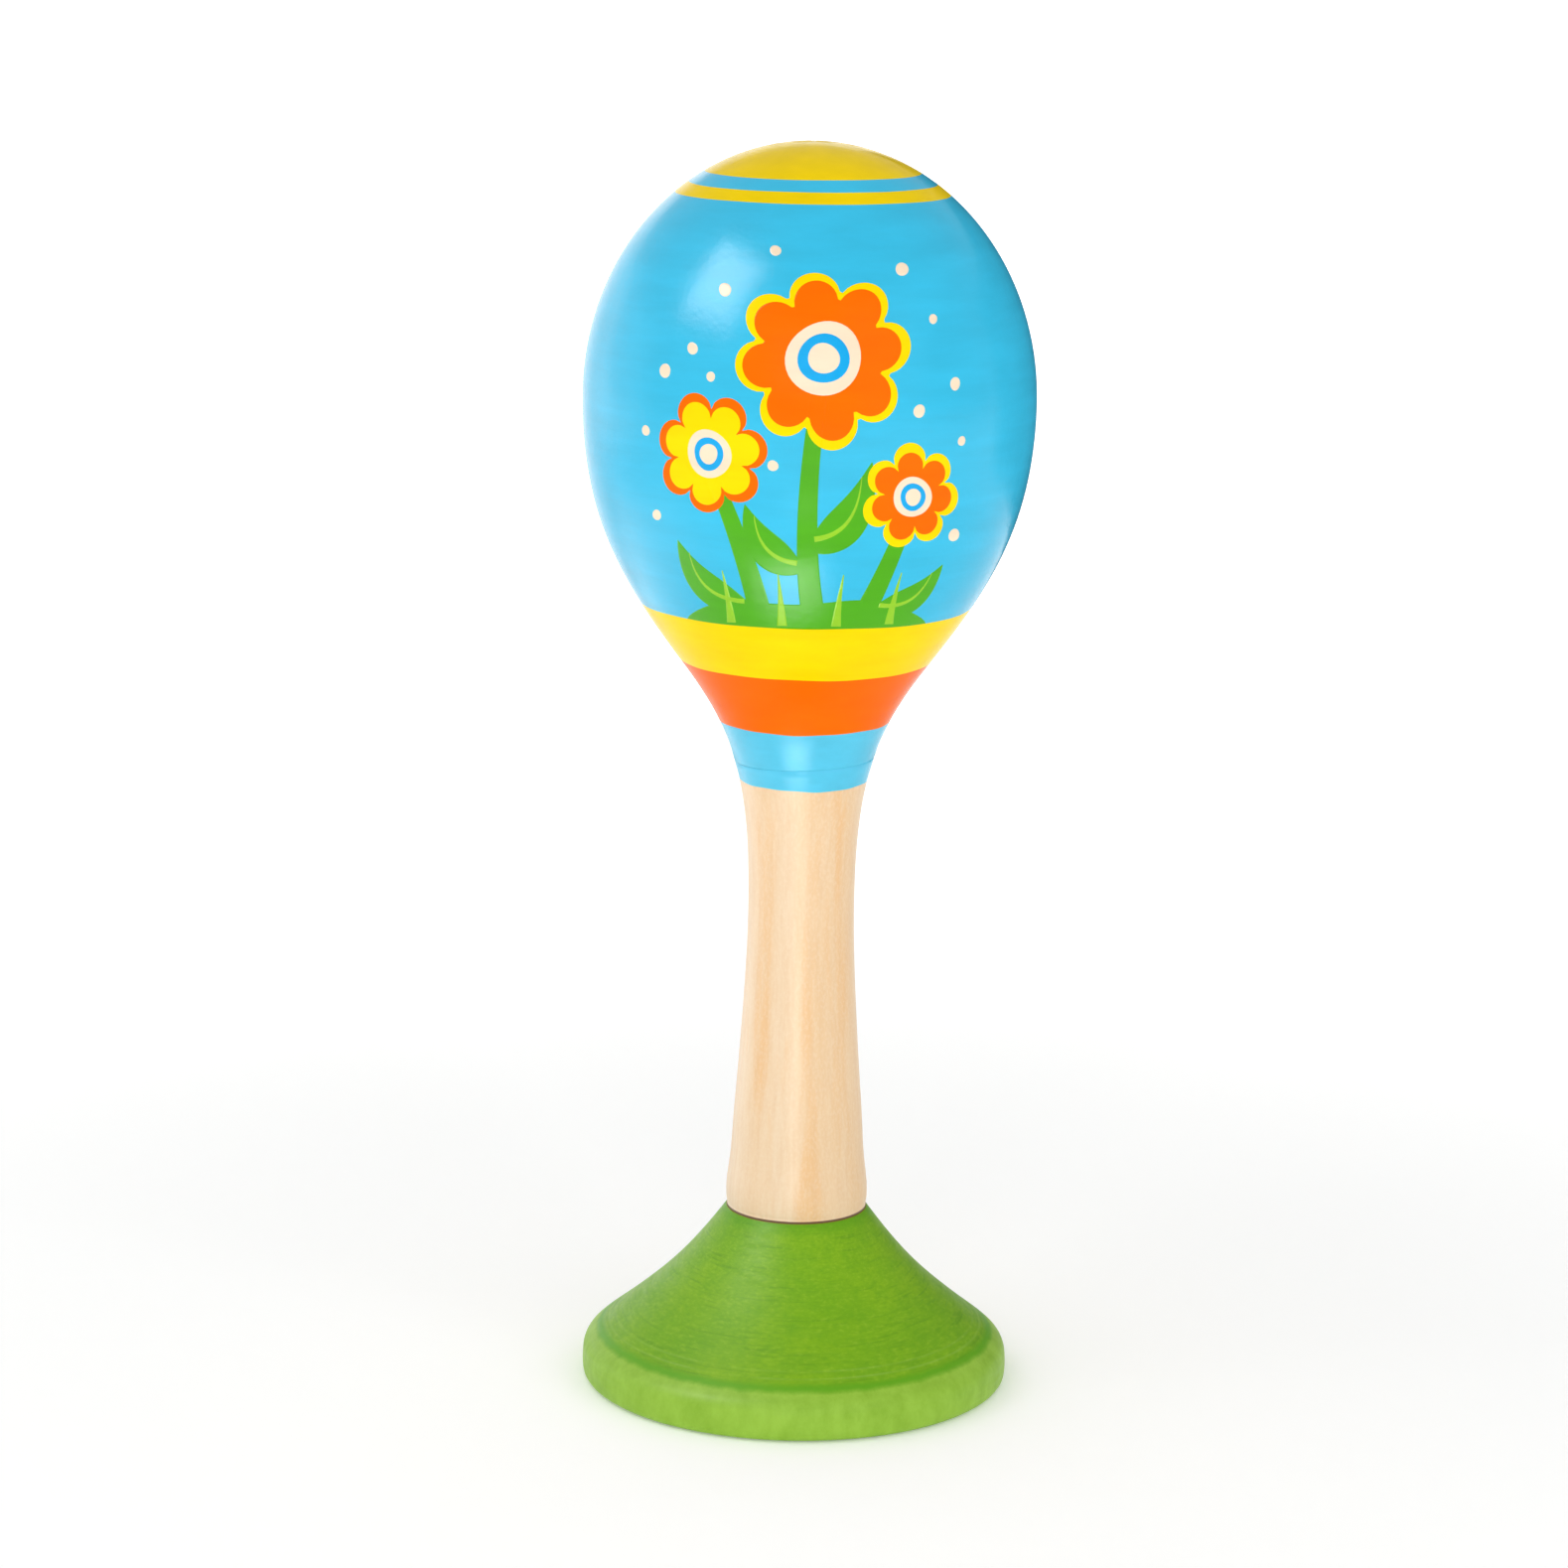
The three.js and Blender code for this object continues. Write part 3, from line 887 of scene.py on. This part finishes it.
class HeadSkin:
    """The sheet in (turn, length along the outline), its faces and the paint of each face."""

    def __init__(self, outline, first, equator):
        self.outline = outline
        self.first = first
        self.equator = equator
        self.last = outline.length
        self.turns = np.linspace(-math.pi, math.pi, COLUMNS + 1)
        self.points = []
        self.edges = []
        self.line(np.full(COLUMNS + 1, equator))
        self.bands = []
        for seed, (height, size) in enumerate(BAND_EDGES):
            self.bands.append(outline.at_height(height) + size * waves(self.turns, seed, WOBBLE_WAVES))
            self.line(self.bands[-1])
        self.line(self.bands[BODY_EDGE] + FOOT_BEVEL)
        self.layers = artwork()
        shapes = [self.ring(edge) for _, edges in self.layers for edge in edges]
        self.fill()
        flat, _, self.faces, _, _, owners = delaunay_2d_cdt(
            [Vector(p) for p in self.points], self.edges, shapes, 0, CUT_TOLERANCE)
        flat = np.array([tuple(p) for p in flat])
        self.turn = flat[:, 0] / SKIN_RADIUS
        self.length = flat[:, 1]
        self.paint(owners)
        self.place()

    def add(self, turn, length):
        self.points.append((float(turn) * SKIN_RADIUS, float(length)))
        return len(self.points) - 1

    def line(self, lengths):
        """An edge right round the head."""
        row = [self.add(t, s) for t, s in zip(self.turns, lengths)]
        self.edges.extend(zip(row, row[1:]))

    def ring(self, shape):
        """A painted shape's points on the sheet."""
        length = self.outline.at_height(BODY_FOOT) + shape[:, 1]
        turn = shape[:, 0] / self.outline.radius(length)
        return [self.add(t, s) for t, s in zip(turn, length)]

    def fill(self):
        """Points between the edges: a lattice that thins out towards the crown and keeps clear of edges."""
        taken = np.array(self.points)
        rows = rows_along(self.first + JOINT_GROOVE_HALF, self.last, ROW_STEP)
        for t in self.turns:
            self.add(t, self.first)
        for s in rows[:-1]:
            radius = float(self.outline.radius(s))
            near = taken[np.abs(taken[:, 1] - s) < CLEAR_OF_EDGE]
            for t in self.turns[::next(step for limit, step in THINNING if radius >= limit)]:
                room = np.hypot(near[:, 0] - t * SKIN_RADIUS, near[:, 1] - s)
                if not len(room) or room.min() > CLEAR_OF_EDGE:
                    self.add(t, s)
        for t in self.turns[::THINNING[-1][1]]:
            self.add(t, self.last)

    def paint(self, owners):
        """The paint of each face, and how many layers of paint lift each point.

        Of a face's owners, even numbers are outer edges of the layers round it and odd numbers inner edges.
        """
        self.paints = []
        self.lift = np.zeros(len(self.turn))
        for face, owner in zip(self.faces, owners):
            turn = self.turn[face].mean()
            length = self.length[face].mean()
            band = sum(length < np.interp(turn, self.turns, edge) for edge in self.bands)
            colour = BAND_PAINTS[band]
            drawn = [i // 2 for i in owner if i % 2 == 0]
            if colour == BODY_PAINT and drawn:
                colour = self.layers[max(drawn)][0]
                coats = {self.layers[i // 2][0] for i in owner if i % 2 and i - 1 in owner}
                self.lift[face] = np.maximum(self.lift[face], min(len(coats), MOST_LAYERS))
            self.paints.append(PAINT_NAMES.index(colour))
        body_foot = np.interp(self.turn, self.turns, self.bands[BODY_EDGE])
        self.lift[self.length < body_foot + FOOT_BEVEL / 2] = 0

    def place(self):
        """Points and normals in the row frame. The skew of the neck joint fades out up the neck."""
        above = self.length - self.first
        length = self.length + joint_skew(self.turn) * np.clip(1 - above / JOINT_SKEW_REACH, 0, 1)
        out, up = self.outline.normal(length)
        raised = self.lift * PAINT_STEP - JOINT_GROOVE * np.clip(1 - above / JOINT_GROOVE_HALF, 0, 1)
        radius = self.outline.radius(length) + raised * out
        self.places = around(radius, self.turn, self.outline.height(length) + raised * up)
        self.normals = around(out, self.turn, up) / MM


def flat_normal(corners):
    a, b, c = corners[:3]
    normal = np.cross(b - a, c - a)
    return normal / max(np.linalg.norm(normal), TINY)


class Shell:
    """One half of the head: the skin between two lengths, closed by the rings of its inside."""

    def __init__(self, skin, low, high):
        self.skin = skin
        self.low = low
        self.high = high
        self.places = []
        self.index = {}
        self.faces = []
        self.paints = []
        self.maps = []
        self.normals = []
        self.add_skin()

    def vertex(self, place):
        key = tuple(np.round(place / MM, WELD_DIGITS))
        if key not in self.index:
            self.index[key] = len(self.places)
            self.places.append(np.array(place))
        return self.index[key]

    def add_skin(self):
        """Faces of the skin. A face that climbs onto a layer of paint is flat, and the others are smooth."""
        skin = self.skin
        for face, paint in zip(skin.faces, skin.paints):
            if not self.holds(face):
                continue
            corners = [self.vertex(skin.places[v]) for v in face]
            if len(set(corners)) < 3:
                continue
            self.faces.append(corners)
            self.paints.append(paint)
            stepped = np.ptp(skin.lift[face]) > 0
            tilt = flat_normal(skin.places[face]) if stepped else None
            for v in face:
                self.normals.append(skin.normals[v] if tilt is None else tilt)
                share = (skin.length[v] - self.low) / (self.high - self.low)
                self.maps.append((skin.turn[v] / FULL_TURN + MIDDLE, INSIDE_MAP + (1 - INSIDE_MAP) * share))

    def holds(self, face):
        return self.low < self.skin.length[face].mean() <= self.high

    def ring(self, turn, radius, height):
        """The points of one ring of the inside, or the one point where it meets the axis."""
        if radius < ON_AXIS:
            return [self.vertex(np.array((0, 0, height * MM)))] * len(turn)
        return [self.vertex(p) for p in around(np.full(len(turn), radius), turn, np.full(len(turn), height))]

    def close(self, level, section, inward_down, paint):
        """Rings from an open edge of the skin to the axis."""
        skin = self.skin
        on_edge = [v for v in range(len(skin.turn)) if abs(skin.length[v] - level) < EDGE_TOLERANCE]
        on_edge.sort(key=lambda v: skin.turn[v])
        on_edge = on_edge[:-1]
        turn = skin.turn[on_edge]
        count = len(turn)
        last = [self.vertex(skin.places[v]) for v in on_edge]
        for step, (radius, height) in enumerate(section):
            ring = self.ring(turn, radius, height)
            for k in range(count):
                m = (k + 1) % count
                corners = [last[m], last[k], ring[k], ring[m]]
                spots = [(k + 1, step), (k, step), (k, step + 1), (k + 1, step + 1)]
                if not inward_down:
                    corners.reverse()
                    spots.reverse()
                if ring[k] == ring[m]:
                    meeting = corners.index(ring[k])
                    corners.pop(meeting)
                    spots.pop(meeting)
                self.faces.append(corners)
                self.paints.append(paint)
                self.normals.extend([flat_normal([self.places[c] for c in corners])] * len(corners))
                self.maps.extend((a / count, INSIDE_MAP * b / len(section)) for a, b in spots)
            last = ring

    def finish(self, name, node, materials):
        mesh = new_mesh(name, self.places, self.faces, self.paints, self.maps, self.normals)
        finish_piece(name, mesh, materials, "instrument", node)


def make_head(outline, joint_height, lower, upper, enamels):
    """Both shells, each given as its half section (inside before, outside, inside after)."""
    socket, bowl, lip = lower
    roof, _, _ = upper
    skin = HeadSkin(outline, outline.at_height(joint_height), outline.at_height(bowl[-1][1]))
    materials = [*enamels, bare_wood("shell_wood", *SHELL_WOOD)]
    inside = len(materials) - 1
    lower_shell = Shell(skin, skin.first, skin.equator)
    lower_shell.close(skin.first, socket[::-1], True, inside)
    lower_shell.close(skin.equator, lip, False, inside)
    lower_shell.finish("head_lower_painted", "head_lower_shell", materials)
    upper_shell = Shell(skin, skin.equator, skin.last)
    upper_shell.close(skin.equator, roof[::-1], True, inside)
    upper_shell.finish("head_upper_painted", "head_upper_shell", materials)


# Stage, light and camera

def backdrop_paper():
    """White paper that glows far from the object."""
    material, tree, shader = new_material("backdrop_paper")
    colour = mixed(tree, noise(tree, PAPER_GRAIN), *(srgb(code) for code in PAPER_TONES))
    tree.links.new(colour, shader.inputs["Base Color"])
    shader.inputs["Roughness"].default_value = PAPER_ROUGHNESS
    shader.inputs["Specular IOR Level"].default_value = PAPER_SHEEN
    shader.inputs["Emission Color"].default_value = WHITE
    flat = stretched(tree, (1, 1, 0))
    away = add_node(tree, "ShaderNodeVectorMath", {"operation": "LENGTH"}, {0: flat}).outputs["Value"]
    glow = between(tree, away, GLOW_SPAN, GLOW, curve="SMOOTHSTEP")
    tree.links.new(glow, shader.inputs["Emission Strength"])
    return material


def make_backdrop():
    """A pale floor that sweeps up into a wall behind the object."""
    profile = [(BACKDROP_FRONT, 0.0)]
    for angle in np.linspace(0, math.pi / 2, BACKDROP_BEND_STEPS + 1):
        rise = BACKDROP_BEND * (1 - math.cos(angle))
        profile.append((BACKDROP_BEND_AT + BACKDROP_BEND * math.sin(angle), rise))
    profile.append((BACKDROP_BEND_AT + BACKDROP_BEND, BACKDROP_TOP))
    places = [(side * BACKDROP_HALF_WIDTH, y, z - BACKDROP_DROP) for y, z in profile for side in (-1, 1)]
    faces = [(2 * i, 2 * i + 1, 2 * i + 3, 2 * i + 2) for i in range(len(profile) - 1)]
    mesh = bpy.data.meshes.new("backdrop")
    mesh.from_pydata(places, [], faces)
    mesh.polygons.foreach_set("use_smooth", [True] * len(faces))
    mesh.materials.append(backdrop_paper())
    backdrop = bpy.data.objects.new("backdrop", mesh)
    bpy.context.scene.collection.objects.link(backdrop)


def soften(light, share):
    """Lets a lamp's brightness fall off over a share of its half size, towards its edges."""
    light.use_nodes = True
    tree = light.node_tree
    place = add_node(tree, "ShaderNodeNewGeometry").outputs["Parametric"]
    parts = add_node(tree, "ShaderNodeSeparateXYZ", inputs={"Vector": place})
    reach = maths(tree, "MAXIMUM", *(apart(tree, parts.outputs[axis], MIDDLE) for axis in "XY"))
    strength = between(tree, reach, (MIDDLE, MIDDLE * (1 - share)), curve="SMOOTHSTEP")
    tree.links.new(strength, tree.nodes["Emission"].inputs["Strength"])


def add_lamp(name, place, target, size, radiance, diffuse=True, glossy=True, soft=0.0, spread=None):
    """A rectangular lamp that faces a target. Its light fades towards the edge of a spread."""
    light = bpy.data.lights.new(name, "AREA")
    light.shape = "RECTANGLE"
    light.size, light.size_y = size
    light.energy = radiance * math.pi * size[0] * size[1]
    if spread:
        light.spread = spread
        light.energy *= 1 - spread / 2 / math.tan(spread / 2)
    if soft:
        soften(light, soft)
    lamp = bpy.data.objects.new(name, light)
    lamp.location = place
    lamp.rotation_euler = (Vector(target) - Vector(place)).to_track_quat("-Z", "Y").to_euler()
    lamp.visible_camera = False
    lamp.visible_diffuse = diffuse
    lamp.visible_glossy = glossy
    bpy.context.scene.collection.objects.link(lamp)


def make_room():
    """A room that looks white and sheds more light from the left than from the right."""
    world = bpy.data.worlds.new("studio")
    world.use_nodes = True
    tree = world.node_tree
    way = add_node(tree, "ShaderNodeTexCoord").outputs["Generated"]
    turned = add_node(tree, "ShaderNodeVectorMath", {"operation": "DOT_PRODUCT"}, {0: way, 1: BRIGHT_WAY})
    strength = between(tree, turned.outputs["Value"], ROOM_SPAN, ROOM_LIGHT, curve="SMOOTHSTEP")
    seen = add_node(tree, "ShaderNodeLightPath").outputs["Is Camera Ray"]
    background = tree.nodes["Background"]
    tree.links.new(maths(tree, "MAXIMUM", strength, seen), background.inputs["Strength"])
    background.inputs["Color"].default_value = WHITE
    bpy.context.scene.world = world


def make_flag():
    """A black card behind on the right, out of the camera's sight, that keeps the head's right edge dark."""
    mesh = bpy.data.meshes.new("black_flag")
    foot, top = FLAG_SPAN
    corners = [(*FLAG_NEAR, foot), (*FLAG_FAR, foot), (*FLAG_FAR, top), (*FLAG_NEAR, top)]
    mesh.from_pydata(corners, [], [(0, 1, 2, 3)])
    material, _, shader = new_material("black_cloth")
    shader.inputs["Base Color"].default_value = FLAG_BLACK
    shader.inputs["Roughness"].default_value = FLAG_ROUGHNESS
    mesh.materials.append(material)
    flag = bpy.data.objects.new("black_flag", mesh)
    flag.visible_camera = False
    flag.visible_diffuse = False
    flag.visible_shadow = False
    bpy.context.scene.collection.objects.link(flag)


def make_camera():
    camera = bpy.data.cameras.new("camera")
    camera.lens = CAMERA_LENS
    camera.sensor_width = CAMERA_SENSOR
    camera.clip_start = CAMERA_NEAREST * MM
    holder = bpy.data.objects.new("camera", camera)
    bpy.context.scene.collection.objects.link(holder)
    holder.matrix_world = (
        Matrix.Translation(Vector((CAMERA_ASIDE, -CAMERA_DISTANCE, CAMERA_HEIGHT)) * MM)
        @ Matrix.Rotation(math.radians(90 - CAMERA_PITCH), 4, "X")
        @ Matrix.Rotation(math.radians(CAMERA_ROLL), 4, "Z"))
    bpy.context.scene.camera = holder


# Assembly

tenon_below, grip, tenon_above = split_section("handle")
lower_section = split_section("head_lower_shell")
upper_section = split_section("head_upper_shell")
lower_outside = lower_section[1]
upper_outside = upper_section[1]
neck_joint = (grip[-1][1] + lower_outside[0][1]) / 2
body_outline = Outline([*grip, *lower_outside[1:], *upper_outside[1:]], ends_on_axis=True)

make_camera()
enamels = [enamel(name, code, WARM_SHEEN if name in WARM_PAINTS else SHEEN) for name, code in PAINTS.items()]
neck_enamel = enamels[PAINT_NAMES.index("neck_blue")]
handle_wood = plain_wood(grip[0][1])
make_base()
make_handle(body_outline, tenon_below, tenon_above, neck_joint, handle_wood, neck_enamel)
make_head(body_outline, neck_joint, lower_section, upper_section, enamels)
make_beads()
make_backdrop()
make_room()
for lamp in LAMPS:
    add_lamp(**lamp)
make_flag()
bpy.context.scene.view_settings.view_transform = "Standard"
bpy.context.scene.view_settings.exposure = EXPOSURE
